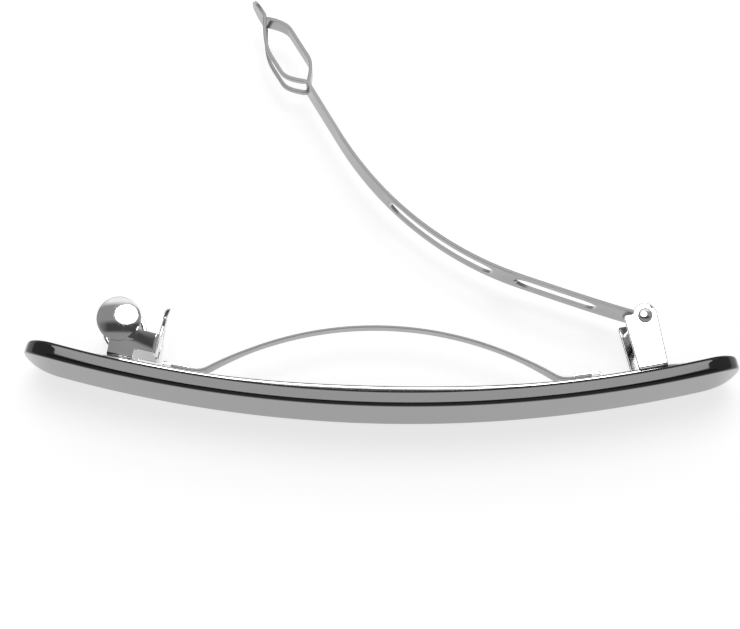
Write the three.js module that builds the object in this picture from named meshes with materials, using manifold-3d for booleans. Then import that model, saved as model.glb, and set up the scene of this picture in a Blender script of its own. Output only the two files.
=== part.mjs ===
// Barrette-style hair clip, open: a curved bar with a sprung sheet-steel clasp on its hollow back.
// Millimetres. +X runs along the bar to the hinge, +Y from the bar's front to its back, and +Z across
// its width. The origin is the middle of the front face. Places on the back are given as a distance
// "along" the back's arc from the middle of the bar and a height "up" from the back.

import * as THREE from 'three';
import { mergeVertices } from 'three/addons/utils/BufferGeometryUtils.js';
import Module from 'manifold-3d';

const wasm = await Module();
wasm.setup();

// Bar
const BAR_LENGTH = 98.4;
const BAR_WIDTH = 16;
const BAR_THICKNESS = 2.2;
const BAR_EDGE_RADIUS = 0.7;
const BAR_END_BULGE = 1.8;
const BAR_CORNER_RADIUS = 2;
const BACK_RADIUS = 182;

// Fits
const SEAT_GAP = 0.12;
const SIDE_CLEARANCE = 0.25;
const PIN_CLEARANCE = 0.1;
const BEND_GAP = 0.3;
const CUT_PAST = 1;

// Base plate, with its hinge ears and the two lanced bridges that hold the spring
const PLATE_THICKNESS = 0.6;
const PLATE_WIDTH = 6.6;
const PLATE_CATCH_MARGIN = 4.05;
const PLATE_HINGE_MARGIN = 4.95;
const BRIDGE_LENGTH = 3.4;
const BRIDGE_RAMP = 1.0;
const BRIDGE_WIDTH = 1.6;
const BRIDGE_THICKNESS = 0.45;
const BRIDGE_END_GAP = 2.93;
const EAR_THICKNESS = 0.6;
const EAR_LOBE_RADIUS = 1.75;
const EAR_FOOT_BACK = 2.2;
const EAR_SHOULDER_BACK = 3.4;
const EAR_SHOULDER_RISE = 0.57;
const EAR_LOBE_SWEEP = 150;

// Hinge pin
const PIN_ALONG = 37.65;
const PIN_UP = 7.94;
const PIN_RADIUS = 0.75;
const PIN_HEAD_RADIUS = 1;
const PIN_HEAD_HEIGHT = 0.35;

// Swing arm: two straight legs joined by a bend, with an eye lanced near its tip
const ARM_OPEN_ANGLE = 38.2;
const ARM_THICKNESS = 0.6;
const ARM_HINGE_WIDTH = 7.7;
const ARM_TIP_WIDTH = 6.8;
const ARM_KNUCKLE_RADIUS = 1.5;
const ARM_HINGE_LEG = 18.2;
const ARM_HINGE_SLOPE = 20;
const ARM_BEND_RADIUS = 48;
const ARM_TIP_SLOPE = 18.5;
const ARM_OFFSET = -0.35;
const EYE_START = 8.6;
const EYE_LENGTH = 11.3;
const EYE_RAMP = 2.6;
const EYE_RAIL_DROP = 2;
const EYE_BAND_RISE = 2.2;
const EYE_BAND_WIDTH = 4.2;
const EYE_LANCE_GAP = 0.2;
const TONGUE_LENGTH = 3.2;
const SLOT_WIDTH = 2.7;
const SLOT_SPANS = [[5.9, 17.3], [20.1, 37.7]];

// Bow spring
const SPRING_THICKNESS = 0.45;
const SPRING_WIDTH = 4;
const SPRING_RISE = 6.5;
const SPRING_TAB = 4.2;
const SPRING_END_BAR = 1.1;

// Pinch catch: a saddle and two wings, each with a thumb disc, a neck and an inward barbed finger
const CATCH_REACH = 4.5;
const CATCH_STRIP_UP = 8;
const CATCH_EYE_MARGIN = 1.9;
const CATCH_SHEET = 0.5;
const SADDLE_LENGTH = 3.8;
const WING_SPREAD = 9;
const NECK_WIDTH = 3.55;
const DISC_RADIUS = 3.05;
const DISC_UP = 5.9;
const DISC_OFFSET = -1.2;
const DISC_DOME = 0.6;
const CHEEK_LOW = 2.4;
const CHEEK_HIGH = 5.4;
const FINGER_GAP = 1.6;
const FINGER_CLEARANCE = 0.35;
const FINGER_RISE = 1.4;
const BARB_DROP = 0.85;
const BARB_OVERHANG = 0.3;
const BARB_LIP = 0.2;

// Drive rivets
const RIVET_RADIUS = 0.55;
const RIVET_HEAD_RADIUS = 0.8;
const RIVET_HEAD_HEIGHT = 0.4;
const RIVET_DEPTH = 1.2;
const RIVET_END_MARGIN = 1.05;

// Facets: an odd count of arc steps leaves one flat facet in the middle of the front
const ARC_STEPS = 37;
const OUTLINE_STEPS = 12;
const EDGE_STEPS = 3;
const EYE_STEPS = 24;
const ROUND_SIDES = 32;
const BUMP_STEPS = 6;
const WELD_DISTANCE = 1e-5;

const radians = THREE.MathUtils.degToRad;
const ARC_CENTRE = new THREE.Vector2(0, BACK_RADIUS + BAR_THICKNESS);
const PLATE_TOP = SEAT_GAP + PLATE_THICKNESS;
const SEAT_UP = PLATE_TOP + SEAT_GAP;
const PIN_BORE = PIN_RADIUS + PIN_CLEARANCE;
const EAR_INSIDE = ARM_HINGE_WIDTH / 2 + SIDE_CLEARANCE;
const EAR_OUTSIDE = EAR_INSIDE + EAR_THICKNESS;
const WING_OUTSIDE = WING_SPREAD / 2;
const WING_INSIDE = WING_OUTSIDE - CATCH_SHEET;
const RAIL_INSIDE = EYE_BAND_WIDTH / 2 + EYE_LANCE_GAP;
const FINGER_OUTSIDE = RAIL_INSIDE - FINGER_CLEARANCE;
const FINGER_TOP_UP = CATCH_STRIP_UP + FINGER_RISE;
const BARB_UP = CATCH_STRIP_UP - BARB_DROP;

// Place on the back of the bar

function onBack(along, up) {
  const angle = along / BACK_RADIUS;
  const radius = BACK_RADIUS - up;
  return new THREE.Vector2(ARC_CENTRE.x + radius * Math.sin(angle), ARC_CENTRE.y - radius * Math.cos(angle));
}

function backFrame(along) {
  const foot = onBack(along, 0);
  const turn = new THREE.Matrix4().makeRotationZ(along / BACK_RADIUS);
  return turn.setPosition(foot.x, foot.y, 0);
}

// Solids

function solid(geometry) {
  geometry.deleteAttribute('normal');
  geometry.deleteAttribute('uv');
  const welded = mergeVertices(geometry, WELD_DISTANCE);
  return new wasm.Manifold(new wasm.Mesh({
    numProp: 3,
    vertProperties: new Float32Array(welded.attributes.position.array),
    triVerts: new Uint32Array(welded.index.array),
  }));
}

function toGeometry(manifold) {
  const mesh = manifold.getMesh();
  const geometry = new THREE.BufferGeometry();
  geometry.setAttribute('position', new THREE.BufferAttribute(mesh.vertProperties, mesh.numProp));
  geometry.setIndex(new THREE.BufferAttribute(mesh.triVerts, 1));
  geometry.computeVertexNormals();
  return geometry;
}

function acrossWidth(shape, low, high, frame) {
  const geometry = new THREE.ExtrudeGeometry(shape, {
    depth: high - low, bevelEnabled: false, curveSegments: ARC_STEPS,
  });
  geometry.translate(0, 0, low);
  return solid(frame ? geometry.applyMatrix4(frame) : geometry);
}

// A shape drawn in X and Z, extruded along Y from low to high.
function alongHeight(shape, low, high, frame) {
  const geometry = new THREE.ExtrudeGeometry(shape, {
    depth: high - low, bevelEnabled: false, curveSegments: OUTLINE_STEPS,
  });
  geometry.rotateX(Math.PI / 2);
  geometry.translate(0, high, 0);
  return solid(frame ? geometry.applyMatrix4(frame) : geometry);
}

// A shape drawn in Z and Y, extruded along X from low to high.
function alongLength(shape, low, high) {
  const geometry = new THREE.ExtrudeGeometry(shape, { depth: high - low, bevelEnabled: false });
  geometry.rotateY(-Math.PI / 2);
  geometry.translate(high, 0, 0);
  return solid(geometry);
}

function rodAcross(radius, low, high, frame) {
  const disc = new THREE.Shape().absarc(0, 0, radius, 0, 2 * Math.PI);
  const geometry = new THREE.ExtrudeGeometry(disc, {
    depth: high - low, bevelEnabled: false, curveSegments: ROUND_SIDES,
  });
  geometry.translate(0, 0, low);
  return solid(frame ? geometry.applyMatrix4(frame) : geometry);
}

function postUp(radius, low, high, frame) {
  const geometry = new THREE.CylinderGeometry(radius, radius, high - low, ROUND_SIDES);
  geometry.translate(0, (low + high) / 2, 0);
  return solid(geometry.applyMatrix4(frame));
}

// Outlines

function rectangle(x0, y0, x1, y1) {
  return new THREE.Shape([[x0, y0], [x1, y0], [x1, y1], [x0, y1]].map(([x, y]) => new THREE.Vector2(x, y)));
}

function roundEnded(x0, x1, halfWidth) {
  const shape = new THREE.Shape();
  shape.absarc(x1 - halfWidth, 0, halfWidth, -Math.PI / 2, Math.PI / 2);
  shape.absarc(x0 + halfWidth, 0, halfWidth, Math.PI / 2, 3 * Math.PI / 2);
  return shape;
}

function backBand(start, end, low, high) {
  const shape = new THREE.Shape();
  const turn = (along) => along / BACK_RADIUS - Math.PI / 2;
  shape.absarc(ARC_CENTRE.x, ARC_CENTRE.y, BACK_RADIUS - low, turn(start), turn(end), false);
  shape.absarc(ARC_CENTRE.x, ARC_CENTRE.y, BACK_RADIUS - high, turn(end), turn(start), true);
  return shape;
}

// The outline of a bent strip of even thickness along a centre line.
function ribbon(points, thickness) {
  const sides = [1, -1].map((side) => points.map((point, i) => {
    const before = points[Math.max(i - 1, 0)];
    const after = points[Math.min(i + 1, points.length - 1)];
    const along = new THREE.Vector2().subVectors(after, before).normalize();
    const offset = side * thickness / 2;
    return new THREE.Vector2(point.x - along.y * offset, point.y + along.x * offset);
  }));
  return new THREE.Shape([...sides[1], ...sides[0].reverse()]);
}

function smooth(share) {
  const t = THREE.MathUtils.clamp(share, 0, 1);
  return t * t * (3 - 2 * t);
}

// Bar

function barEnds() {
  const half = BAR_WIDTH / 2;
  const end = BAR_LENGTH / 2 - BAR_END_BULGE;
  const shoulder = half - BAR_CORNER_RADIUS;
  const lip = BAR_END_BULGE * (1 - (shoulder / half) ** 2);
  const apex = end + 2 * BAR_END_BULGE - lip;
  const side = end - BAR_CORNER_RADIUS;
  const shape = new THREE.Shape();
  shape.moveTo(-side, -half);
  shape.lineTo(side, -half);
  shape.quadraticCurveTo(end, -half, end + lip, -shoulder);
  shape.quadraticCurveTo(apex, 0, end + lip, shoulder);
  shape.quadraticCurveTo(end, half, side, half);
  shape.lineTo(-side, half);
  shape.quadraticCurveTo(-end, half, -end - lip, shoulder);
  shape.quadraticCurveTo(-apex, 0, -end - lip, -shoulder);
  shape.quadraticCurveTo(-end, -half, -side, -half);
  return shape;
}

function frontBar() {
  const reach = BACK_RADIUS * Math.asin(BAR_LENGTH / 2 / BACK_RADIUS) + BAR_EDGE_RADIUS + SEAT_GAP;
  const geometry = new THREE.ExtrudeGeometry(backBand(-reach, reach, -BAR_THICKNESS, 0), {
    depth: BAR_WIDTH - 2 * BAR_EDGE_RADIUS,
    bevelSize: BAR_EDGE_RADIUS,
    bevelThickness: BAR_EDGE_RADIUS,
    bevelOffset: -BAR_EDGE_RADIUS,
    bevelSegments: EDGE_STEPS,
    curveSegments: ARC_STEPS,
  });
  geometry.translate(0, 0, BAR_EDGE_RADIUS - BAR_WIDTH / 2);
  const rise = onBack(reach, 0).y + BAR_THICKNESS;
  const bar = solid(geometry).intersect(alongHeight(barEnds(), -BAR_THICKNESS, rise));
  return RIVET_PLACES.reduce((left, along) => left.subtract(
    postUp(RIVET_RADIUS + PIN_CLEARANCE, -RIVET_DEPTH - SEAT_GAP, BAR_THICKNESS, backFrame(along)),
  ), bar);
}

// Arm centre line, from the pin: distance along the arm in, place and direction out

const BEND_TURN = radians(ARM_HINGE_SLOPE + ARM_TIP_SLOPE);
const TIP_LEG_START = ARM_HINGE_LEG + ARM_BEND_RADIUS * BEND_TURN;
const EYE_IN = TIP_LEG_START + EYE_START;
const EYE_OUT = EYE_IN + EYE_LENGTH;
const ARM_END = EYE_OUT + TONGUE_LENGTH;

function armLine(distance) {
  const slope = radians(ARM_HINGE_SLOPE);
  const leg = Math.min(distance, ARM_HINGE_LEG);
  const turned = THREE.MathUtils.clamp((distance - ARM_HINGE_LEG) / ARM_BEND_RADIUS, 0, BEND_TURN);
  const rest = Math.max(distance - TIP_LEG_START, 0);
  const heading = slope - turned;
  const x = leg * Math.cos(slope) + ARM_BEND_RADIUS * (Math.sin(slope) - Math.sin(heading));
  const y = leg * Math.sin(slope) + ARM_BEND_RADIUS * (Math.cos(heading) - Math.cos(slope));
  return {
    place: new THREE.Vector2(x + rest * Math.cos(heading), ARM_OFFSET + y + rest * Math.sin(heading)),
    heading,
  };
}

function armStrip(start, end, steps, bump = () => 0) {
  const points = [];
  for (let i = 0; i <= steps; i += 1) {
    const distance = start + (end - start) * i / steps;
    const { place, heading } = armLine(distance);
    const offset = bump(distance);
    points.push(new THREE.Vector2(place.x - Math.sin(heading) * offset, place.y + Math.cos(heading) * offset));
  }
  return ribbon(points, ARM_THICKNESS);
}

function eyeBump(height) {
  return (distance) => {
    const fromEnd = Math.min(distance - EYE_IN, EYE_OUT - distance);
    return height * smooth(fromEnd / EYE_RAMP);
  };
}

function armOutline() {
  const root = ARM_HINGE_WIDTH / 2;
  const eye = ARM_TIP_WIDTH / 2;
  const eyeIn = armLine(EYE_IN).place.x;
  const eyeOut = armLine(EYE_OUT).place.x;
  const tip = armLine(ARM_END).place.x;
  const shape = new THREE.Shape();
  shape.moveTo(-ARM_KNUCKLE_RADIUS, -root);
  shape.lineTo(ARM_KNUCKLE_RADIUS, -root);
  shape.lineTo(eyeIn, -eye);
  shape.lineTo(eyeOut, -eye);
  shape.quadraticCurveTo(tip, -eye, tip, 0);
  shape.quadraticCurveTo(tip, eye, eyeOut, eye);
  shape.lineTo(eyeIn, eye);
  shape.lineTo(ARM_KNUCKLE_RADIUS, root);
  shape.lineTo(-ARM_KNUCKLE_RADIUS, root);
  return shape;
}

function swingArm() {
  const half = ARM_HINGE_WIDTH / 2;
  const lap = ARM_THICKNESS;
  const rail = armStrip(EYE_IN - lap, EYE_OUT + lap, EYE_STEPS, eyeBump(EYE_RAIL_DROP));
  const band = armStrip(EYE_IN - lap, EYE_OUT + lap, EYE_STEPS, eyeBump(-EYE_BAND_RISE));
  const depth = ARM_END;
  const strip = rodAcross(ARM_KNUCKLE_RADIUS, -half, half)
    .add(acrossWidth(armStrip(0, EYE_IN, ARC_STEPS), -half, half))
    .add(acrossWidth(rail, RAIL_INSIDE, half))
    .add(acrossWidth(rail, -half, -RAIL_INSIDE))
    .add(acrossWidth(band, -EYE_BAND_WIDTH / 2, EYE_BAND_WIDTH / 2))
    .add(acrossWidth(armStrip(EYE_OUT, ARM_END, BUMP_STEPS), -half, half))
    .intersect(alongHeight(armOutline(), -depth, depth))
    .subtract(rodAcross(PIN_BORE, -half - CUT_PAST, half + CUT_PAST));
  return SLOT_SPANS.reduce((left, [start, end]) => left.subtract(
    alongHeight(roundEnded(start, end, SLOT_WIDTH / 2), 0, depth),
  ), strip);
}

// Closed arm: where the eye meets the fingers, and so where the catch stands

const PIN_PLACE = onBack(PIN_ALONG, PIN_UP);
const ENGAGED = armLine(EYE_OUT - CATCH_EYE_MARGIN).place;
const FINGER_ALONG = (() => {
  const pinRadius = BACK_RADIUS - PIN_UP;
  const stripRadius = BACK_RADIUS - CATCH_STRIP_UP;
  const reach = ENGAGED.length();
  const cosine = (pinRadius ** 2 + stripRadius ** 2 - reach ** 2) / (2 * pinRadius * stripRadius);
  return PIN_ALONG - BACK_RADIUS * Math.acos(cosine);
})();
const CATCH_ALONG = FINGER_ALONG - CATCH_REACH;
const CATCH_FRAME = backFrame(CATCH_ALONG);
const PLATE_CATCH_END = CATCH_ALONG - PLATE_CATCH_MARGIN;
const PLATE_HINGE_END = PIN_ALONG + PLATE_HINGE_MARGIN;
const RIVET_PLACES = [
  PLATE_CATCH_END + RIVET_END_MARGIN,
  CATCH_ALONG,
  PLATE_HINGE_END - RIVET_END_MARGIN,
];

// Bow spring: an arch with flat end tabs; each tab's window lets a bridge reach over its end bar.
// It is centred on the bar, and its bridges end short of the saddle and the ears.

const BRIDGE_UP = SEAT_UP + SPRING_THICKNESS + SEAT_GAP + BRIDGE_THICKNESS / 2;
const BRIDGE_END = Math.min(-CATCH_ALONG - SADDLE_LENGTH / 2, PIN_ALONG - EAR_FOOT_BACK) - BRIDGE_END_GAP;
const BRIDGE_MIDDLE = BRIDGE_END - BRIDGE_RAMP - BRIDGE_LENGTH / 2;
const TAB_END = BRIDGE_MIDDLE + SPRING_END_BAR / 2;
const SPRING_FOOT = TAB_END - SPRING_TAB;
const SPRING_FOOT_UP = SEAT_UP + SPRING_THICKNESS / 2;

function bowSpring() {
  const foot = onBack(SPRING_FOOT, SPRING_FOOT_UP);
  const radius = (foot.x ** 2 + SPRING_RISE ** 2) / (2 * SPRING_RISE);
  const half = Math.asin(foot.x / radius);
  const centre = foot.y + SPRING_RISE - radius;
  const points = [onBack(-TAB_END, SPRING_FOOT_UP)];
  for (let i = 0; i <= ARC_STEPS; i += 1) {
    const angle = half * (2 * i / ARC_STEPS - 1);
    points.push(new THREE.Vector2(radius * Math.sin(angle), centre + radius * Math.cos(angle)));
  }
  points.push(onBack(TAB_END, SPRING_FOOT_UP));
  const leaf = acrossWidth(ribbon(points, SPRING_THICKNESS), -SPRING_WIDTH / 2, SPRING_WIDTH / 2);
  const side = BRIDGE_WIDTH / 2 + SIDE_CLEARANCE;
  const bottom = SEAT_UP - SEAT_GAP;
  const top = SEAT_UP + SPRING_THICKNESS + SEAT_GAP;
  const windows = [
    [TAB_END, rectangle(-SPRING_TAB, -side, -SPRING_END_BAR, side)],
    [-TAB_END, rectangle(SPRING_END_BAR, -side, SPRING_TAB, side)],
  ];
  return windows.reduce((left, [along, window]) => left.subtract(
    alongHeight(window, bottom, top, backFrame(along)),
  ), leaf);
}

// Base plate

function earOutline() {
  const sweep = radians(EAR_LOBE_SWEEP);
  const shape = new THREE.Shape();
  shape.moveTo(-EAR_FOOT_BACK, SEAT_GAP);
  shape.lineTo(EAR_LOBE_RADIUS, SEAT_GAP);
  shape.lineTo(EAR_LOBE_RADIUS, PIN_UP);
  shape.absarc(0, PIN_UP, EAR_LOBE_RADIUS, 0, sweep, false);
  shape.lineTo(-EAR_SHOULDER_BACK, PIN_UP + EAR_SHOULDER_RISE);
  return shape;
}

function bridge(frame) {
  const flat = BRIDGE_LENGTH / 2;
  const low = PLATE_TOP - PLATE_THICKNESS / 2;
  const line = [[-flat - BRIDGE_RAMP, low], [-flat, BRIDGE_UP], [flat, BRIDGE_UP], [flat + BRIDGE_RAMP, low]];
  const shape = ribbon(line.map(([x, y]) => new THREE.Vector2(x, y)), BRIDGE_THICKNESS);
  return acrossWidth(shape, -BRIDGE_WIDTH / 2, BRIDGE_WIDTH / 2, frame);
}

function basePlate() {
  const outline = roundEnded(onBack(PLATE_CATCH_END, 0).x, onBack(PLATE_HINGE_END, 0).x, PLATE_WIDTH / 2);
  const rise = onBack(PLATE_HINGE_END, PLATE_TOP).y + PLATE_TOP;
  const band = backBand(PLATE_CATCH_END, PLATE_HINGE_END, SEAT_GAP, PLATE_TOP);
  let plate = acrossWidth(band, -PLATE_WIDTH / 2, PLATE_WIDTH / 2).intersect(alongHeight(outline, 0, rise));
  const hinge = backFrame(PIN_ALONG);
  const tab = rectangle(-EAR_FOOT_BACK, SEAT_GAP, EAR_LOBE_RADIUS, PLATE_TOP);
  plate = plate
    .add(acrossWidth(tab, -EAR_OUTSIDE, EAR_OUTSIDE, hinge))
    .add(acrossWidth(earOutline(), EAR_INSIDE, EAR_OUTSIDE, hinge))
    .add(acrossWidth(earOutline(), -EAR_OUTSIDE, -EAR_INSIDE, hinge));
  const pinFrame = hinge.clone().multiply(new THREE.Matrix4().makeTranslation(0, PIN_UP, 0));
  plate = plate.subtract(rodAcross(PIN_BORE, -EAR_OUTSIDE - CUT_PAST, EAR_OUTSIDE + CUT_PAST, pinFrame));
  for (const side of [-1, 1]) {
    const frame = backFrame(side * BRIDGE_MIDDLE);
    const cut = BRIDGE_LENGTH / 2 + BRIDGE_RAMP / 2;
    const window = rectangle(-cut, -BRIDGE_WIDTH / 2 - SEAT_GAP, cut, BRIDGE_WIDTH / 2 + SEAT_GAP);
    plate = plate
      .subtract(alongHeight(window, -SEAT_GAP, SEAT_UP, frame))
      .add(bridge(frame));
  }
  return RIVET_PLACES.reduce((left, along) => left.subtract(
    postUp(RIVET_RADIUS + PIN_CLEARANCE, -SEAT_GAP, SEAT_UP, backFrame(along)),
  ), plate);
}

// Pinch catch

function saddle() {
  const half = SADDLE_LENGTH / 2;
  const sheet = rectangle(-half, SEAT_UP, half, SEAT_UP + CATCH_SHEET);
  const side = WING_INSIDE - BEND_GAP - CATCH_SHEET;
  return acrossWidth(sheet, -side, side)
    .subtract(postUp(RIVET_RADIUS + PIN_CLEARANCE, 0, SEAT_UP + 2 * CATCH_SHEET, new THREE.Matrix4()));
}

function disc() {
  const rim = DISC_RADIUS;
  const profile = new THREE.Path().moveTo(0, 0).lineTo(rim, 0).lineTo(rim, CATCH_SHEET);
  profile.quadraticCurveTo(rim / 2, CATCH_SHEET + DISC_DOME, 0, CATCH_SHEET + DISC_DOME);
  const geometry = new THREE.LatheGeometry(profile.getPoints(BUMP_STEPS), ROUND_SIDES);
  geometry.rotateX(Math.PI / 2);
  geometry.translate(DISC_OFFSET, DISC_UP, WING_INSIDE);
  return solid(geometry);
}

function finger() {
  const inside = FINGER_GAP / 2;
  const barb = RAIL_INSIDE + BARB_OVERHANG;
  const shape = new THREE.Shape();
  shape.moveTo(inside, CHEEK_LOW);
  shape.lineTo(WING_OUTSIDE, CHEEK_LOW);
  shape.lineTo(WING_OUTSIDE, CHEEK_HIGH);
  shape.lineTo(FINGER_OUTSIDE, CHEEK_HIGH);
  shape.lineTo(FINGER_OUTSIDE, BARB_UP);
  shape.lineTo(barb, BARB_UP);
  shape.lineTo(barb, BARB_UP + BARB_LIP);
  shape.lineTo((inside + FINGER_OUTSIDE) / 2, FINGER_TOP_UP);
  shape.lineTo(inside, FINGER_TOP_UP);
  return alongLength(shape, CATCH_REACH - CATCH_SHEET / 2, CATCH_REACH + CATCH_SHEET / 2);
}

// The wing on the +Z side; the other is its mirror image.
function wing() {
  const neck = NECK_WIDTH / 2;
  const upright = rectangle(-neck, SEAT_UP, neck, DISC_UP);
  const cheek = rectangle(0, CHEEK_LOW, CATCH_REACH + CATCH_SHEET / 2, CHEEK_HIGH);
  const foot = rectangle(-neck, SEAT_UP, neck, SEAT_UP + CATCH_SHEET);
  return acrossWidth(upright, WING_INSIDE, WING_OUTSIDE)
    .add(acrossWidth(cheek, WING_INSIDE, WING_OUTSIDE))
    .add(acrossWidth(foot, WING_INSIDE - CATCH_SHEET, WING_OUTSIDE))
    .add(disc())
    .add(finger());
}

// Pin and rivets

function turned(points) {
  return new THREE.LatheGeometry(points.map(([x, y]) => new THREE.Vector2(x, y)), ROUND_SIDES);
}

function hingePin() {
  const seat = EAR_OUTSIDE + SEAT_GAP;
  const top = seat + PIN_HEAD_HEIGHT;
  const flat = PIN_HEAD_RADIUS - PIN_HEAD_HEIGHT;
  const rim = seat + PIN_HEAD_HEIGHT / 2;
  const half = [[PIN_RADIUS, seat], [PIN_HEAD_RADIUS, seat], [PIN_HEAD_RADIUS, rim], [flat, top], [0, top]];
  const other = half.map(([x, y]) => [x, -y]).reverse();
  return solid(turned([...other, ...half]).rotateX(Math.PI / 2));
}

function rivet(seat) {
  const top = seat + RIVET_HEAD_HEIGHT;
  const rim = seat + RIVET_HEAD_HEIGHT / 2;
  const flat = RIVET_HEAD_RADIUS / 2;
  return solid(turned([
    [0, -RIVET_DEPTH], [RIVET_RADIUS, -RIVET_DEPTH], [RIVET_RADIUS, seat], [RIVET_HEAD_RADIUS, seat],
    [RIVET_HEAD_RADIUS, rim], [flat, top], [0, top],
  ]));
}

// Materials and assembly

const black = new THREE.MeshStandardMaterial({ color: 0x0b0b0d, roughness: 0.08, metalness: 0 });
const nickel = new THREE.MeshStandardMaterial({ color: 0xd2d3d6, roughness: 0.12, metalness: 1 });

const clip = new THREE.Group();

function place(name, manifold, material, frame) {
  const mesh = new THREE.Mesh(toGeometry(manifold), material);
  mesh.name = name;
  if (frame) {
    mesh.applyMatrix4(frame);
  }
  clip.add(mesh);
  return mesh;
}

const armFrame = new THREE.Matrix4()
  .makeRotationZ(Math.PI - radians(ARM_OPEN_ANGLE))
  .setPosition(PIN_PLACE.x, PIN_PLACE.y, 0);
const pinFrame = new THREE.Matrix4().makeTranslation(PIN_PLACE.x, PIN_PLACE.y, 0);
const plateRivet = PLATE_TOP + SEAT_GAP;
const saddleRivet = SEAT_UP + CATCH_SHEET + SEAT_GAP;

place('front_bar', frontBar(), black);
place('base_plate', basePlate(), nickel);
place('hinge_pin', hingePin(), nickel, pinFrame);
place('swing_arm', swingArm(), nickel, armFrame);
place('bow_spring', bowSpring(), nickel);
place('catch_saddle', saddle(), nickel, CATCH_FRAME);
place('catch_wing_upper', wing(), nickel, CATCH_FRAME);
place('catch_wing_lower', wing().mirror([0, 0, 1]), nickel, CATCH_FRAME);
place('catch_end_rivet', rivet(plateRivet), nickel, backFrame(RIVET_PLACES[0]));
place('catch_rivet', rivet(saddleRivet), nickel, backFrame(RIVET_PLACES[1]));
place('hinge_end_rivet', rivet(plateRivet), nickel, backFrame(RIVET_PLACES[2]));

export default clip;
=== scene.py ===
import math

import bmesh
import bpy
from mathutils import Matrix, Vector


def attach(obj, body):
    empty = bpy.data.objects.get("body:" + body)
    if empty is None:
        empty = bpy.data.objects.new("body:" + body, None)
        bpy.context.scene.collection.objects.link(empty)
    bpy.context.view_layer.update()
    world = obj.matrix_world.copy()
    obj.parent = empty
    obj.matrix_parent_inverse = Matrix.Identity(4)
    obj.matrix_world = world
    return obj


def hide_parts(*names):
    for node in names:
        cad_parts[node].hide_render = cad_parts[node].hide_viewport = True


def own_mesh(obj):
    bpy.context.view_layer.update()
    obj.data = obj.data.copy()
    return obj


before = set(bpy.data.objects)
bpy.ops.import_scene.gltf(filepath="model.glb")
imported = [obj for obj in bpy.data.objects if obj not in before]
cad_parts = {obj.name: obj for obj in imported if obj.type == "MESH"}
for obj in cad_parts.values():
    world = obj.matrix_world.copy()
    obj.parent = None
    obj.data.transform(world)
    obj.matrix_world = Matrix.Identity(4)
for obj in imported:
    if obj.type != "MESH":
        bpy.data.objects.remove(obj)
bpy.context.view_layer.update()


# Front bar: one strip of black cellulose acetate, cut to its outline, warmed and bent to a long shallow
# arch, then tumbled until every edge is round and its face is a black mirror. All pieces are modelled in
# millimetres and brought to metres at the end. Flat pieces lie on Y 0 and are bent on to the bar's back.
MM = 0.001
SLACK, HAIR = 0.01, 0.001
SMOOTH_ANGLE = 38
NOISE_LOW, NOISE_HIGH = 0.3, 0.7
BACK_RADIUS = 182.0
BAR_THICKNESS = 2.2
BAR_HALF_WIDTH = 8.0
BAR_SIDE = 47.4
BAR_END_BULGE = 1.8
BAR_CORNER = 2.6
BAR_EDGE, BAR_CROWN = 1.07, 0.8
BAR_RIM = 0.25
BAR_FLAT_ANGLE = 0.4
BAR_FACE_CORNERS = 20
BAR_SLICES = 96
NOSE_START, NOSE_SLIM, NOSE_STEPS = 45.2, 0.6, 24
ACETATE_DEEP, ACETATE_PALE = (0.004, 0.004, 0.005), (0.009, 0.009, 0.010)
ACETATE_IOR = 1.55


def primitive(name, add, turn=(0, 0, 0), place=(0, 0, 0), scale=(1, 1, 1), **options):
    """Adds a primitive with nothing else selected, sets it in place and opens it for editing."""
    if bpy.context.mode != "OBJECT":
        bpy.ops.object.mode_set(mode="OBJECT")
    bpy.ops.object.select_all(action="DESELECT")
    add(**options)
    piece = bpy.context.object
    piece.name = piece.data.name = name
    piece.scale, piece.rotation_euler, piece.location = scale, turn, place
    bpy.ops.object.transform_apply(location=True, rotation=True, scale=True)
    bpy.ops.object.mode_set(mode="EDIT")
    return piece


def block(name, low, high):
    """A block between two corners."""
    middle = [(a + b) / 2 for a, b in zip(low, high)]
    extent = [b - a for a, b in zip(low, high)]
    return primitive(name, bpy.ops.mesh.primitive_cube_add, place=middle, scale=extent, size=1)


def near(value, place):
    """Whether a measure is at a place, within a hair."""
    return abs(value - place) < HAIR


def straight_along(axis):
    """A test that an edge runs straight along an axis."""
    across = [i for i in range(3) if i != axis]
    return lambda a, b: all(near(a[i], b[i]) for i in across)


def pick(piece, kind, test):
    """Selects the corners, edges or faces of the piece in hand whose corner places pass the test."""
    bpy.ops.mesh.select_mode(type=kind)
    bpy.ops.mesh.select_all(action="DESELECT")
    mesh = bmesh.from_edit_mesh(piece.data)
    for part in {"VERT": mesh.verts, "EDGE": mesh.edges, "FACE": mesh.faces}[kind]:
        places = [part.co] if kind == "VERT" else [corner.co for corner in part.verts]
        if test(*places):
            part.select_set(True)
    mesh.select_flush_mode()
    bmesh.update_edit_mesh(piece.data)


def round_edges(piece, radius, segments, test, crown=0.5):
    """Rounds the picked edges of the piece in hand; a crown over a half leaves them squarer than an arc."""
    pick(piece, "EDGE", test)
    bpy.ops.mesh.bevel(offset=radius, segments=segments, affect="EDGES", clamp_overlap=False, profile=crown)


def slice_up(axis, places):
    """Cuts the piece in hand across at each place along an axis, so that it can bend there."""
    normal = [float(i == axis) for i in range(3)]
    for place in places:
        bpy.ops.mesh.select_all(action="SELECT")
        bpy.ops.mesh.bisect(plane_co=[place * n for n in normal], plane_no=normal, threshold=1e-5)


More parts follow.
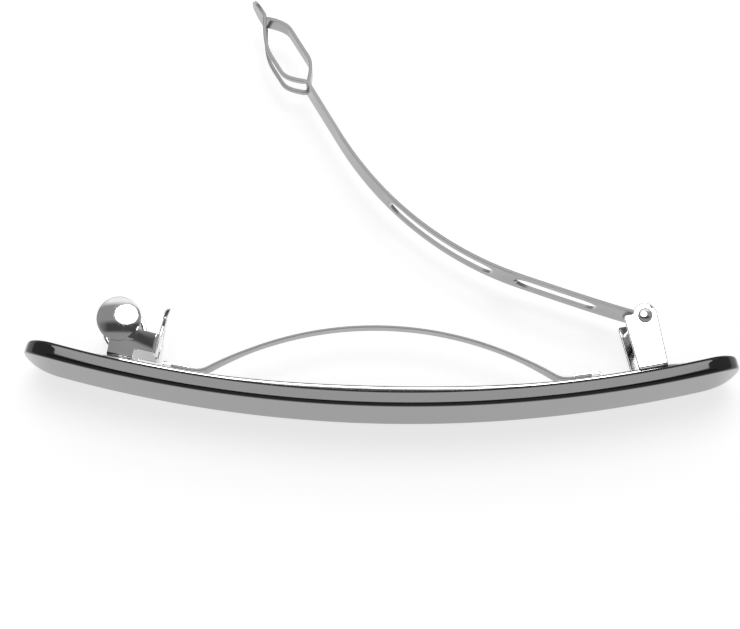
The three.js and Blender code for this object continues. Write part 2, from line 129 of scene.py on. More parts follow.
def bend_to_back(piece):
    """Bends a piece that was modelled flat on to the curve of the bar's back."""
    bpy.ops.object.mode_set(mode="OBJECT")
    along = [corner.co.x for corner in piece.data.vertices]
    bend = piece.modifiers.new("bend", "SIMPLE_DEFORM")
    bend.deform_method, bend.deform_axis = "BEND", "Z"
    bend.angle = (max(along) - min(along)) / BACK_RADIUS
    bpy.ops.object.modifier_apply(modifier="bend")
    bpy.ops.object.mode_set(mode="EDIT")
    bpy.ops.mesh.select_all(action="SELECT")
    bpy.ops.transform.translate(value=(0, BAR_THICKNESS, 0))


def hold(piece):
    """Leaves edit mode with only this piece selected."""
    bpy.ops.object.mode_set(mode="OBJECT")
    bpy.ops.object.select_all(action="DESELECT")
    bpy.context.view_layer.objects.active = piece
    piece.select_set(True)


def fit(piece, material, slot, body, *nodes):
    """Clears a finished piece of scraps, brings it to metres, finishes it and fixes it to its body."""
    hold(piece)
    bpy.ops.object.mode_set(mode="EDIT")
    bpy.ops.mesh.select_all(action="SELECT")
    bpy.ops.mesh.dissolve_degenerate(threshold=2e-3)
    hold(piece)
    piece.scale = (MM, MM, MM)
    bpy.ops.object.transform_apply(location=True, rotation=True, scale=True)
    bpy.ops.object.shade_smooth_by_angle(angle=math.radians(SMOOTH_ANGLE))
    even = piece.modifiers.new("even", "WEIGHTED_NORMAL")
    even.keep_sharp = True
    bpy.ops.object.modifier_apply(modifier="even")
    piece.data.materials.clear()
    piece.data.materials.append(material)
    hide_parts(*nodes)
    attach(piece, body)


def new_finish(name):
    """A new material, and its shader."""
    material = bpy.data.materials.new(name)
    material.use_nodes = True
    return material, material.node_tree.nodes["Principled BSDF"]


def grain(material, scale, stretch=(1, 1, 1), detail=3):
    """A noise on the piece's own coordinates, drawn out along the axes with the smaller stretch."""
    nodes, links = material.node_tree.nodes, material.node_tree.links
    where, mapping, noise = (nodes.new("ShaderNode" + kind) for kind in ("TexCoord", "Mapping", "TexNoise"))
    mapping.inputs["Scale"].default_value = stretch
    noise.inputs["Scale"].default_value = scale
    noise.inputs["Detail"].default_value = detail
    links.new(where.outputs["Object"], mapping.inputs["Vector"])
    links.new(mapping.outputs["Vector"], noise.inputs["Vector"])
    return noise.outputs["Fac"]


def spread(material, socket, noise, low, high):
    """Sends a noise to a shader socket, between two levels."""
    nodes, links = material.node_tree.nodes, material.node_tree.links
    level = nodes.new("ShaderNodeMapRange")
    level.inputs["From Min"].default_value, level.inputs["From Max"].default_value = NOISE_LOW, NOISE_HIGH
    level.inputs["To Min"].default_value, level.inputs["To Max"].default_value = low, high
    links.new(noise, level.inputs["Value"])
    links.new(level.outputs["Result"], socket)


def tint(material, socket, noise, low, high):
    """Sends a noise to a colour socket, between two colours."""
    nodes, links = material.node_tree.nodes, material.node_tree.links
    ramp = nodes.new("ShaderNodeValToRGB")
    for stop, place, colour in zip(ramp.color_ramp.elements, (NOISE_LOW, NOISE_HIGH), (low, high)):
        stop.position, stop.color = place, (*colour, 1)
    links.new(noise, ramp.inputs["Fac"])
    links.new(ramp.outputs["Color"], socket)


def relief(material, noise, strength, depth, under=None):
    """The normal of a shallow relief from a noise, on top of another relief where there is one."""
    nodes, links = material.node_tree.nodes, material.node_tree.links
    bump = nodes.new("ShaderNodeBump")
    bump.inputs["Strength"].default_value, bump.inputs["Distance"].default_value = strength, depth * MM
    links.new(noise, bump.inputs["Height"])
    if under:
        links.new(under, bump.inputs["Normal"])
    return bump.outputs["Normal"]


acetate, shader = new_finish("black_acetate")
tint(acetate, shader.inputs["Base Color"], grain(acetate, scale=160), ACETATE_DEEP, ACETATE_PALE)
spread(acetate, shader.inputs["Roughness"], grain(acetate, scale=900, stretch=(0.06, 1, 1)), 0.038, 0.05)
dust = relief(acetate, grain(acetate, scale=5200), strength=0.004, depth=0.01)
acetate.node_tree.links.new(dust, shader.inputs["Normal"])
shader.inputs["IOR"].default_value = ACETATE_IOR

front_bar = block("acetate_bar", (-BAR_SIDE, -BAR_THICKNESS, -BAR_HALF_WIDTH), (BAR_SIDE, 0, BAR_HALF_WIDTH))
round_edges(front_bar, BAR_CORNER, 12, straight_along(1))
pick(front_bar, "EDGE", straight_along(2))
bpy.ops.mesh.subdivide(number_cuts=15)
for row in sorted({round(corner.co.z, 4) for corner in bmesh.from_edit_mesh(front_bar.data).verts}):
    for end in (-1, 1):
        pick(front_bar, "VERT", lambda a: end * a.x > 0 and near(a.z, row))
        bulge = BAR_END_BULGE * (1 - (row / BAR_HALF_WIDTH) ** 2)
        bpy.ops.transform.translate(value=(end * bulge, 0, 0))
bpy.ops.mesh.select_all(action="SELECT")
bpy.ops.mesh.dissolve_limited(angle_limit=math.radians(BAR_FLAT_ANGLE))
round_edges(front_bar, BAR_EDGE, 14, lambda a, b: near(a.y, b.y), BAR_CROWN)
pick(front_bar, "FACE", lambda *corners: len(corners) > BAR_FACE_CORNERS)
bpy.ops.mesh.inset(thickness=BAR_RIM, use_even_offset=True)
reach = BAR_SIDE + BAR_END_BULGE
slice_up(0, [reach * (2 * i / BAR_SLICES - 1) for i in range(1, BAR_SLICES)])
slims = [math.sqrt(1 - NOSE_SLIM * (i / NOSE_STEPS) ** 2) for i in range(NOSE_STEPS + 1)]
for i, (wide, slim) in enumerate(zip(slims, slims[1:])):
    step = NOSE_START + (reach - NOSE_START) * i / NOSE_STEPS
    pick(front_bar, "VERT", lambda a: abs(a.x) > step)
    bpy.ops.transform.resize(value=(1, slim / wide, 1), center_override=(0, -BAR_THICKNESS / 2, 0))
bend_to_back(front_bar)
fit(front_bar, acetate, "black_acetate", "bar", "front_bar")


# Base plate: a strip of spring steel, blanked with round ends, lanced into two small bridges that hold the
# spring, and folded up at the hinge into two ears. It is nickel plated, nailed to the hollow of the bar at its
# ends, and stands a little off the bar in the middle.
SHARP_ANGLE = 40
SHEET_EDGE = 0.08
FOLD_OUTSIDE = 0.95
PLATE_LOW, PLATE_TOP = 0.12, 0.84
PLATE_ENDS = (-40.155, 42.6)
PLATE_HALF_WIDTH, PLATE_END_FLAT = 4.5, 0.1
PLATE_EDGE = 0.28
PLATE_SLICES = 60
PLATE_STAND, PLATE_STAND_REACH = 0.35, 26.0
PIN_ALONG, PIN_UP = 37.65, 7.94
PIN_BORE = 0.85
EAR_INSIDE, EAR_OUTSIDE = 4.1, 4.7
EAR_LOBE = 1.75
EAR_EDGE = 0.2
EAR_FOOT_BACK, EAR_FOOT_HEIGHT = 2.25, 1
EAR_SHOULDER_BACK, EAR_SHOULDER_RISE, EAR_SHOULDER_ROUND = 3.05, 0.5, 0.4
EAR_BLANK_BACK, EAR_BLANK_AHEAD, EAR_BLANK_TOP, EAR_BLANK_HALF = 5, 4, 3, 6
BRIDGE_MIDDLE, BRIDGE_FLAT, BRIDGE_RAMP = 28.573, 1.7, 1.0
BRIDGE_HALF_WIDTH, BRIDGE_RISE = 0.8, 1.45
BRIDGE_LOW, BRIDGE_TOP = 0.2, 0.65
LANCE_GAP, LANCE_LOW, LANCE_HIGH = 0.12, -1, 2
NICKEL_GREY, NICKEL_BRIGHT = (0.68, 0.68, 0.69), (0.75, 0.75, 0.75)


def combine(piece, tool, operation="DIFFERENCE"):
    """Cuts a tool shape out of a piece, or joins it on, and takes the tool away."""
    hold(piece)
    change = piece.modifiers.new("change", "BOOLEAN")
    change.operation, change.object, change.solver = operation, tool, "EXACT"
    bpy.ops.object.modifier_apply(modifier="change")
    bpy.data.objects.remove(tool)
    bpy.ops.object.mode_set(mode="EDIT")
    bpy.ops.mesh.select_all(action="SELECT")
    bpy.ops.mesh.remove_doubles(threshold=1e-4)


def soften(piece, radius, segments=2):
    """Takes the sharpness off every sheared edge of a stamped piece, once its scraps are merged."""
    hold(piece)
    bpy.ops.object.mode_set(mode="EDIT")
    bpy.ops.mesh.select_all(action="SELECT")
    bpy.ops.mesh.remove_doubles(threshold=0.03)
    hold(piece)
    edge = piece.modifiers.new("edge", "BEVEL")
    edge.width, edge.segments = radius, segments
    edge.limit_method, edge.angle_limit = "ANGLE", math.radians(SHARP_ANGLE)
    bpy.ops.object.modifier_apply(modifier="edge")
    bpy.ops.object.mode_set(mode="EDIT")


def rod(name, radius, low, high, place, sides=64):
    """A round bar across the clip's width."""
    middle = (place[0], place[1], (low + high) / 2)
    return primitive(name, bpy.ops.mesh.primitive_cylinder_add, place=middle,
                     vertices=sides, radius=radius, depth=high - low)


mirror_nickel, shader = new_finish("mirror_nickel")
shader.inputs["Metallic"].default_value = 1.0
tint(mirror_nickel, shader.inputs["Base Color"], grain(mirror_nickel, scale=320), NICKEL_GREY, NICKEL_BRIGHT)
spread(mirror_nickel, shader.inputs["Roughness"], grain(mirror_nickel, scale=1400), 0.04, 0.09)
waves = relief(mirror_nickel, grain(mirror_nickel, scale=420, detail=1), strength=0.04, depth=0.05)
pits = relief(mirror_nickel, grain(mirror_nickel, scale=6000), strength=0.03, depth=0.01, under=waves)
mirror_nickel.node_tree.links.new(pits, shader.inputs["Normal"])

plate = block("clasp_plate", (PLATE_ENDS[0], PLATE_LOW, -PLATE_HALF_WIDTH),
              (PLATE_ENDS[1], PLATE_TOP, PLATE_HALF_WIDTH))
round_edges(plate, PLATE_HALF_WIDTH - PLATE_END_FLAT, 16, straight_along(1))
soften(plate, PLATE_EDGE, 4)
for side in (-1, 1):
    middle = side * BRIDGE_MIDDLE
    reach = BRIDGE_FLAT + BRIDGE_RAMP / 2
    gap = BRIDGE_HALF_WIDTH + LANCE_GAP
    combine(plate, block("lance", (middle - reach, LANCE_LOW, -gap), (middle + reach, LANCE_HIGH, gap)))
for side in (-1, 1):
    middle = side * BRIDGE_MIDDLE
    reach = BRIDGE_FLAT + BRIDGE_RAMP
    bridge = block("bridge", (middle - reach, BRIDGE_LOW, -BRIDGE_HALF_WIDTH),
                   (middle + reach, BRIDGE_TOP, BRIDGE_HALF_WIDTH))
    slice_up(0, (middle - BRIDGE_FLAT, middle + BRIDGE_FLAT))
    pick(bridge, "VERT", lambda a: abs(a.x - middle) < BRIDGE_FLAT + SLACK)
    bpy.ops.transform.translate(value=(0, BRIDGE_RISE, 0))
    soften(bridge, SHEET_EDGE)
    combine(plate, bridge, "UNION")

ear = rod("ear", EAR_LOBE, -EAR_BLANK_HALF, EAR_BLANK_HALF, (PIN_ALONG, PIN_UP))
bpy.ops.mesh.primitive_cube_add(
    size=1, location=(PIN_ALONG + (EAR_LOBE - EAR_FOOT_BACK) / 2, EAR_FOOT_HEIGHT / 2, 0),
    scale=(EAR_LOBE + EAR_FOOT_BACK, EAR_FOOT_HEIGHT, 2 * EAR_BLANK_HALF))
bpy.ops.mesh.select_all(action="SELECT")
bpy.ops.mesh.convex_hull()
shoulder = block("shoulder", (PIN_ALONG - EAR_BLANK_BACK, 0, -EAR_BLANK_HALF),
                 (PIN_ALONG, PIN_UP + EAR_SHOULDER_RISE, EAR_BLANK_HALF))
bpy.ops.mesh.select_all(action="SELECT")
lean = math.atan2(EAR_SHOULDER_BACK - EAR_FOOT_BACK, PIN_UP + EAR_SHOULDER_RISE)
bpy.ops.mesh.bisect(plane_co=(PIN_ALONG - EAR_FOOT_BACK, 0, 0), plane_no=(-math.cos(lean), -math.sin(lean), 0),
                    clear_outer=True, use_fill=True, threshold=1e-5)
round_edges(shoulder, EAR_SHOULDER_ROUND, 5, lambda a, b: straight_along(2)(a, b)
            and a.x < PIN_ALONG - EAR_FOOT_BACK - SLACK and a.y > PIN_UP)
combine(ear, shoulder, "UNION")

bracket = block("bracket", (PIN_ALONG - EAR_BLANK_BACK, PLATE_LOW, -EAR_OUTSIDE),
                (PIN_ALONG + EAR_BLANK_AHEAD, PIN_UP + EAR_BLANK_TOP, EAR_OUTSIDE))
round_edges(bracket, FOLD_OUTSIDE, 8, lambda a, b: straight_along(0)(a, b) and near(a.y, PLATE_LOW))
hollow = block("hollow", (PIN_ALONG - EAR_BLANK_BACK - 1, PLATE_TOP, -EAR_INSIDE),
               (PIN_ALONG + EAR_BLANK_AHEAD + 1, PIN_UP + EAR_BLANK_TOP + 1, EAR_INSIDE))
combine(bracket, hollow)
combine(bracket, ear, "INTERSECT")
soften(bracket, EAR_EDGE, 4)
combine(bracket, rod("bore", PIN_BORE, -EAR_BLANK_HALF, EAR_BLANK_HALF, (PIN_ALONG, PIN_UP)))
combine(plate, bracket, "UNION")
length = PLATE_ENDS[1] - PLATE_ENDS[0]
rows = [PLATE_ENDS[0] + length * i / PLATE_SLICES for i in range(1, PLATE_SLICES)]
slice_up(0, rows)
for row in rows:
    if abs(row) < PLATE_STAND_REACH:
        pick(plate, "VERT", lambda a: near(a.x, row))
        bpy.ops.transform.translate(value=(0, PLATE_STAND * (1 - (row / PLATE_STAND_REACH) ** 2) ** 2, 0))
bend_to_back(plate)
fit(plate, mirror_nickel, "nickel_plate", "bar", "base_plate")


# Drive rivets: three short nickel-plated nails with low domed heads, turned from wire and driven through the
# plate into blind holes in the acetate. The middle one also holds the catch down.
RIVET_PLACES = {
    "catch_end_rivet": (-39.105, 0.84),
    "catch_rivet": (-36.105, 1.46),
    "hinge_end_rivet": (41.55, 0.84),
}
RIVET_RADIUS, RIVET_HEAD, RIVET_HEAD_HEIGHT, RIVET_HEAD_ROUND, RIVET_DEPTH = 0.55, 0.8, 0.4, 0.28, 1.2


def stand_on_back(piece, along):
    """Turns a piece that was modelled upright at the origin on to its place along the bar's back."""
    hold(piece)
    angle = along / BACK_RADIUS
    piece.rotation_euler = (0, 0, angle)
    piece.location = (BACK_RADIUS * math.sin(angle), BAR_THICKNESS + BACK_RADIUS * (1 - math.cos(angle)), 0)
    bpy.ops.object.transform_apply(location=True, rotation=True, scale=True)


for node, (along, seat) in RIVET_PLACES.items():
    rivet = primitive(node.replace("rivet", "nail"), bpy.ops.mesh.primitive_cylinder_add,
                      turn=(math.pi / 2, 0, 0), place=(0, seat + RIVET_HEAD_HEIGHT / 2, 0),
                      vertices=48, radius=RIVET_HEAD, depth=RIVET_HEAD_HEIGHT)
    pick(rivet, "FACE", lambda *corners: all(a.y < seat + SLACK for a in corners))
    bpy.ops.mesh.inset(thickness=RIVET_HEAD - RIVET_RADIUS)
    bpy.ops.mesh.extrude_region_move(TRANSFORM_OT_translate={"value": (0, -seat - RIVET_DEPTH, 0)})
    round_edges(rivet, RIVET_HEAD_ROUND, 5, lambda a, b: min(a.y, b.y) > seat + RIVET_HEAD_HEIGHT - SLACK)
    stand_on_back(rivet, along)
    fit(rivet, mirror_nickel, "nickel_plate", "bar", node)


# Bow spring: a narrow leaf of hardened steel, arched so that it presses the hair against the closed arm. Its
# end tabs have windows that let the plate's bridges reach over their end bars, so the leaf can spread.
SPRING_THICKNESS, SPRING_HALF_WIDTH, SPRING_WAIST, SPRING_NARROW = 0.32, 2.0, 1.3, 17.0
SPRING_FOOT, SPRING_TAB_END, SPRING_UP, SPRING_RISE = 24.923, 29.123, 1.4, 6.87
TAB_STEPS, ARCH_STEPS = 6, 36
WINDOW_BAR, WINDOW_START, WINDOW_HALF, WINDOW_ROUND, WINDOW_CUT = 1.1, 0.2, 1.05, 0.6, 3
STRIP_GREY, STRIP_BRIGHT, STRIP_GLANCE = (0.48, 0.48, 0.49), (0.56, 0.56, 0.56), (0.64, 0.64, 0.64)
SHEARED_GREY, SHEARED_ROUGHNESS = (0.38, 0.38, 0.38), 0.55
SHEARED_FROM, SHEARED_TO = 0.6, 0.95


def on_back(along, up):
    """A place on the clip, from a distance along the bar's back and a height above it."""
    angle, radius = along / BACK_RADIUS, BACK_RADIUS - up
    return Vector((radius * math.sin(angle), BAR_THICKNESS + BACK_RADIUS - radius * math.cos(angle), 0))


def eased(places, rounds):
    """Softens the corners of a path and leaves its ends where they are."""
    for _ in range(rounds):
        between = [(a + 2 * b + c) / 4 for a, b, c in zip(places, places[1:], places[2:])]
        places = [places[0], *between, places[-1]]
    return places


def headings(places):
    """The direction of a path at each of its places."""
    steps = [after - before for before, after in zip([places[0], *places[:-1]], [*places[1:], places[-1]])]
    return [math.atan2(step.y, step.x) for step in steps]


def draw_strip(name, places, half_widths, thickness):
    """Draws a strip of sheet out along a path, square to it, with a half width at each place."""
    turns = headings(places)
    strip = primitive(name, bpy.ops.mesh.primitive_plane_add, turn=(math.pi / 2, 0, turns[0] + math.pi / 2),
                      place=places[0], scale=(thickness, 2 * half_widths[0], 1), size=1)
    bpy.ops.mesh.select_all(action="SELECT")
    for i in range(1, len(places)):
        bpy.ops.mesh.extrude_region_move(TRANSFORM_OT_translate={"value": places[i] - places[i - 1]})
        bpy.ops.transform.rotate(value=turns[i - 1] - turns[i], orient_axis="Z", center_override=places[i])
        bpy.ops.transform.resize(value=(1, 1, half_widths[i] / half_widths[i - 1]), center_override=places[i])
    bpy.ops.mesh.select_all(action="SELECT")
    bpy.ops.mesh.normals_make_consistent(inside=False)
    return strip


def sheared_edges(material, shader, colour, roughness):
    """Dulls the sheared edges of a strip, which face across the clip, and leaves its rolled faces bright."""
    nodes, links = material.node_tree.nodes, material.node_tree.links
    facing, parts, across, edge = (nodes.new("ShaderNode" + kind) for kind in (
        "NewGeometry", "SeparateXYZ", "Math", "MapRange"))
    across.operation = "ABSOLUTE"
    edge.inputs["From Min"].default_value, edge.inputs["From Max"].default_value = SHEARED_FROM, SHEARED_TO
    links.new(facing.outputs["Normal"], parts.inputs["Vector"])
    links.new(parts.outputs["Z"], across.inputs[0])
    links.new(across.outputs[0], edge.inputs["Value"])
    for name, dull, kind in (("Base Color", (*colour, 1), "RGBA"), ("Roughness", roughness, "FLOAT")):
        socket = shader.inputs[name]
        mix = nodes.new("ShaderNodeMix")
        mix.data_type = kind
        links.new(edge.outputs["Result"], mix.inputs["Factor"])
        links.new(socket.links[0].from_socket, mix.inputs["A"])
        mix.inputs["B"].default_value = dull
        links.new(mix.outputs["Result"], socket)


rolled_nickel, shader = new_finish("rolled_nickel")
shader.inputs["Metallic"].default_value = 1.0
shader.inputs["Specular Tint"].default_value = (*STRIP_GLANCE, 1)
tint(rolled_nickel, shader.inputs["Base Color"], grain(rolled_nickel, scale=260), STRIP_GREY, STRIP_BRIGHT)
spread(rolled_nickel, shader.inputs["Roughness"],
       grain(rolled_nickel, scale=900, stretch=(0.2, 0.2, 3)), 0.10, 0.20)
sheared_edges(rolled_nickel, shader, SHEARED_GREY, SHEARED_ROUGHNESS)
waves = relief(rolled_nickel, grain(rolled_nickel, scale=420, detail=1), strength=0.05, depth=0.05)
streaks = relief(rolled_nickel, grain(rolled_nickel, scale=2600, stretch=(0.08, 0.08, 3)),
                 strength=0.05, depth=0.01, under=waves)
rolled_nickel.node_tree.links.new(streaks, shader.inputs["Normal"])

foot = on_back(SPRING_FOOT, SPRING_UP)
arch = (foot.x ** 2 + SPRING_RISE ** 2) / (2 * SPRING_RISE)
centre = foot.y + SPRING_RISE - arch
swing = math.asin(foot.x / arch)
arcs = [swing * i / ARCH_STEPS for i in range(-ARCH_STEPS, ARCH_STEPS + 1)]
tab = [SPRING_TAB_END - i * (SPRING_TAB_END - SPRING_FOOT) / TAB_STEPS for i in range(TAB_STEPS)]
path = [on_back(-along, SPRING_UP) for along in tab]
path += [Vector((arch * math.sin(arc), centre + arch * math.cos(arc), 0)) for arc in arcs]
path += [on_back(along, SPRING_UP) for along in reversed(tab)]
tucks = [min(max((abs(place.x) - SPRING_NARROW) / (SPRING_FOOT - SPRING_NARROW), 0), 1) for place in path]
widths = [SPRING_WAIST + (SPRING_HALF_WIDTH - SPRING_WAIST) * tuck * tuck * (3 - 2 * tuck) for tuck in tucks]
spring = draw_strip("spring_leaf", eased(path, rounds=2), widths, SPRING_THICKNESS)
soften(spring, SHEET_EDGE)
for side in (-1, 1):
    end_bar = on_back(side * (SPRING_TAB_END - WINDOW_BAR), SPRING_UP)
    start = on_back(side * (SPRING_FOOT + WINDOW_START), SPRING_UP)
    low, high = sorted((start.x, end_bar.x))
    window = block("window", (low, end_bar.y - WINDOW_CUT, -WINDOW_HALF),
                   (high, end_bar.y + WINDOW_CUT, WINDOW_HALF))
    round_edges(window, WINDOW_ROUND, 5, straight_along(1))
    combine(spring, window)
fit(spring, rolled_nickel, "nickel_plate", "bar", "bow_spring")
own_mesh(spring)


# Pinch catch: one steel blank folded into a saddle and two springy wings, and plated. Each wing has a pressed
# thumb button, a neck that bends at the saddle, and a barbed finger that the arm's eye snaps over.
CATCH_ALONG = -36.105
CATCH_LOW, CATCH_SHEET = 0.84, 0.5
SADDLE_HALF_LENGTH, SADDLE_HALF_WIDTH, SADDLE_CORNER, SADDLE_EDGE = 1.9, 3.2, 0.5, 0.1
WING_INSIDE, WING_OUTSIDE = 4.25, 4.75
NECK_HALF, NECK_TOP, FOOT_IN, CHEEK_IN = 1.775, 3.6, 0.5, 0.6
BUTTON_PLACE, BUTTON_RADIUS, BUTTON_RIM = (-1.2, 5.9), 3.05, 0.1
BUTTON_DOME, BUTTON_HOLLOW, BUTTON_LIP, BUTTON_STEPS = 0.32, 0.28, 0.4, 12
CHEEK_LOW, CHEEK_HIGH, CHEEK_END = 2.4, 5.1, 4.75
FINGER_INSIDE, FINGER_OUTSIDE, FINGER_TOP, FINGER_LEAN = 0.8, 1.95, 9.4, 0.25
BARB_LOW, BARB_HIGH, BARB_OUTSIDE = 7.6, 7.8, 2.6
WINGS = (("near_wing", "catch_wing_upper", "upper_wing", 1), ("far_wing", "catch_wing_lower", "lower_wing", -1))

saddle = block("catch_bed", (-SADDLE_HALF_LENGTH, CATCH_LOW, -SADDLE_HALF_WIDTH),
               (SADDLE_HALF_LENGTH, CATCH_LOW + CATCH_SHEET, SADDLE_HALF_WIDTH))
round_edges(saddle, SADDLE_CORNER, 4, straight_along(1))
soften(saddle, SADDLE_EDGE)
stand_on_back(saddle, CATCH_ALONG)
fit(saddle, mirror_nickel, "nickel_plate", "bar", "catch_saddle")


def pull(piece, step, test):
    """Extrudes the picked faces of the piece in hand by a step."""
    pick(piece, "FACE", lambda *corners: all(test(a) for a in corners))
    bpy.ops.mesh.extrude_region_move(TRANSFORM_OT_translate={"value": step})


def raise_dome(rings):
    """Steps the picked faces of the piece in hand inwards through rings, each a radius and a height."""
    for (outer, low), (inner, high) in zip(rings, rings[1:]):
        bpy.ops.mesh.inset(thickness=outer - inner, depth=high - low)


def thumb_button():
    """A pressed button: a domed outside, and a hollow of even sheet behind it."""
    button = rod("button", BUTTON_RADIUS, WING_INSIDE, WING_OUTSIDE, BUTTON_PLACE, sides=96)
    soften(button, BUTTON_RIM)
    shares = [1 - i / BUTTON_STEPS for i in range(BUTTON_STEPS)]
    for face, lip, height in ((WING_OUTSIDE, 0, BUTTON_DOME), (WING_INSIDE, BUTTON_LIP, -BUTTON_HOLLOW)):
        pick(button, "FACE", lambda *corners: all(near(a.z, face) for a in corners))
        if lip:
            bpy.ops.mesh.inset(thickness=lip)
        rim = BUTTON_RADIUS - BUTTON_RIM - lip
        raise_dome([(rim * share, height * (1 - share ** 2)) for share in shares])
    return button


def catch_wing(name, lean):
    """The wing on the +Z side, upright at the origin, with a finger that leans a little along the clip."""
    foot_top, cheek_back = CATCH_LOW + CATCH_SHEET, CHEEK_END - CATCH_SHEET
    wing = block(name, (-NECK_HALF, CATCH_LOW, WING_INSIDE), (NECK_HALF, BUTTON_PLACE[1], WING_OUTSIDE))
    slice_up(1, (foot_top, CHEEK_LOW, NECK_TOP, CHEEK_HIGH))
    pull(wing, (0, 0, -CATCH_SHEET), lambda a: near(a.z, WING_INSIDE) and a.y < foot_top + SLACK)
    pull(wing, (cheek_back - NECK_HALF, 0, 0),
         lambda a: near(a.x, NECK_HALF) and CHEEK_LOW - SLACK < a.y < CHEEK_HIGH + SLACK)
    pull(wing, (CATCH_SHEET, 0, 0), lambda a: near(a.x, cheek_back))
    pull(wing, (0, 0, FINGER_OUTSIDE - WING_INSIDE),
         lambda a: near(a.z, WING_INSIDE) and a.x > cheek_back - SLACK)
    pull(wing, (0, 0, FINGER_INSIDE - FINGER_OUTSIDE), lambda a: near(a.z, FINGER_OUTSIDE))
    pull(wing, (0, BARB_LOW - CHEEK_HIGH, 0), lambda a: near(a.y, CHEEK_HIGH) and a.z < FINGER_OUTSIDE + SLACK)
    pull(wing, (0, BARB_HIGH - BARB_LOW, 0), lambda a: near(a.y, BARB_LOW))
    pull(wing, (0, 0, BARB_OUTSIDE - FINGER_OUTSIDE),
         lambda a: near(a.z, FINGER_OUTSIDE) and a.y > BARB_LOW - SLACK)
    pull(wing, (0, FINGER_TOP - BARB_HIGH, 0), lambda a: near(a.y, BARB_HIGH))
    share = (FINGER_OUTSIDE - FINGER_INSIDE) / 2 / (BARB_OUTSIDE - FINGER_INSIDE)
    bpy.ops.transform.resize(value=(1, 1, share), center_override=(0, 0, FINGER_INSIDE))
    for axis, fold in ((1, CATCH_LOW), (0, CHEEK_END)):
        round_edges(wing, FOLD_OUTSIDE, 8,
                    lambda *ends: all(near(a[axis], fold) and near(a.z, WING_OUTSIDE) for a in ends))
    for level in (BARB_LOW, BARB_HIGH, FINGER_TOP):
        pick(wing, "VERT", lambda a: near(a.y, level))
        bpy.ops.transform.translate(value=(lean * (level - CHEEK_HIGH) / (FINGER_TOP - CHEEK_HIGH), 0, 0))
    pick(wing, "VERT", lambda a: a.y < CATCH_LOW + FOLD_OUTSIDE + SLACK)
    bpy.ops.transform.translate(value=(0, 0, -FOOT_IN))
    pick(wing, "VERT", lambda a: near(a.y, CHEEK_LOW) and abs(a.x) < NECK_HALF + SLACK)
    bpy.ops.transform.translate(value=(0, 0, -FOOT_IN * (NECK_TOP - CHEEK_LOW) / (NECK_TOP - foot_top)))
    pick(wing, "VERT", lambda a: a.x > NECK_HALF + SLACK and a.z > BARB_OUTSIDE + SLACK)
    bpy.ops.transform.translate(value=(0, 0, -CHEEK_IN))
    soften(wing, SHEET_EDGE)
    combine(wing, thumb_button(), "UNION")
    return wing


for name, node, body, side in WINGS:
    wing = catch_wing(name, side * FINGER_LEAN)
    if side < 0:
        bpy.ops.mesh.select_all(action="SELECT")
        bpy.ops.transform.resize(value=(1, 1, -1), center_override=(0, 0, 0))
        bpy.ops.mesh.normals_make_consistent(inside=False)
    stand_on_back(wing, CATCH_ALONG)
    fit(wing, mirror_nickel, "nickel_plate", body, node)


# Swing arm: a tapering strip of sheet steel, rolled round the pin at one end, pierced with two long slots, bent
# once, and lanced near its tip into an eye whose rails and band spread apart. The tip is a small thumb tongue.
PIN = on_back(PIN_ALONG, PIN_UP)
OPEN_ANGLE = 38.2
ARM_TURN = math.radians(180 - OPEN_ANGLE)
ARM_THICKNESS, ARM_BOW, ARM_BOW_SKEW = 0.45, 0.5, 0.6
ARM_ROOT_HALF, ARM_EYE_HALF, TONGUE_END_HALF = 3.85, 3.4, 0.5
KNUCKLE_RADIUS = 1.5
HINGE_LEG, HINGE_SLOPE, BEND_RADIUS, TIP_SLOPE, ARM_OFFSET = 18.2, 20.0, 48.0, 18.5, -0.35
TIP_LEG_START = HINGE_LEG + BEND_RADIUS * math.radians(HINGE_SLOPE + TIP_SLOPE)
EYE_IN, EYE_OUT, ARM_END = TIP_LEG_START + 8.6, TIP_LEG_START + 19.9, TIP_LEG_START + 23.1
EYE_BAND, EYE_RAILS = (-2.15, 0.3, 0.3), (2.35, 0.28, 0.5)
BAND_HALF, RAIL_INSIDE = 2.1, 2.3
HINGE_STATIONS = [0.8, 4, 8, 12, 16]
BEND_STEPS, EYE_STEPS, TONGUE_STEPS = 32, 28, 10
SLOTS = ((5.9, 17.3), (20.1, 37.7))
SLOT_HALF, SLOT_LOW, SLOT_HIGH = 2.1, -2, 14


def in_clip(x, y):
    """A place in the clip from one in the arm's own frame, with the clip open."""
    cosine, sine = math.cos(ARM_TURN), math.sin(ARM_TURN)
    return PIN + Vector((x * cosine - y * sine, x * sine + y * cosine, 0))


def arm_line(distance, offset=0.0):
    """A place on the arm's centre line, or a little to one side of it."""
    slope = math.radians(HINGE_SLOPE)
    leg = min(distance, HINGE_LEG)
    turned = min(max((distance - HINGE_LEG) / BEND_RADIUS, 0), math.radians(HINGE_SLOPE + TIP_SLOPE))
    rest = max(distance - TIP_LEG_START, 0)
    heading = slope - turned
    x = leg * math.cos(slope) + BEND_RADIUS * (math.sin(slope) - math.sin(heading))
    y = leg * math.sin(slope) + BEND_RADIUS * (math.cos(heading) - math.cos(slope))
    x += rest * math.cos(heading) - offset * math.sin(heading)
    y += rest * math.sin(heading) + offset * math.cos(heading)
    return in_clip(x, y + ARM_OFFSET)


def arm_bow(distance):
    """How far the strip sags towards the bar between the hinge and the eye."""
    return ARM_BOW * math.sin(math.pi * min(distance / EYE_IN, 1) ** ARM_BOW_SKEW)


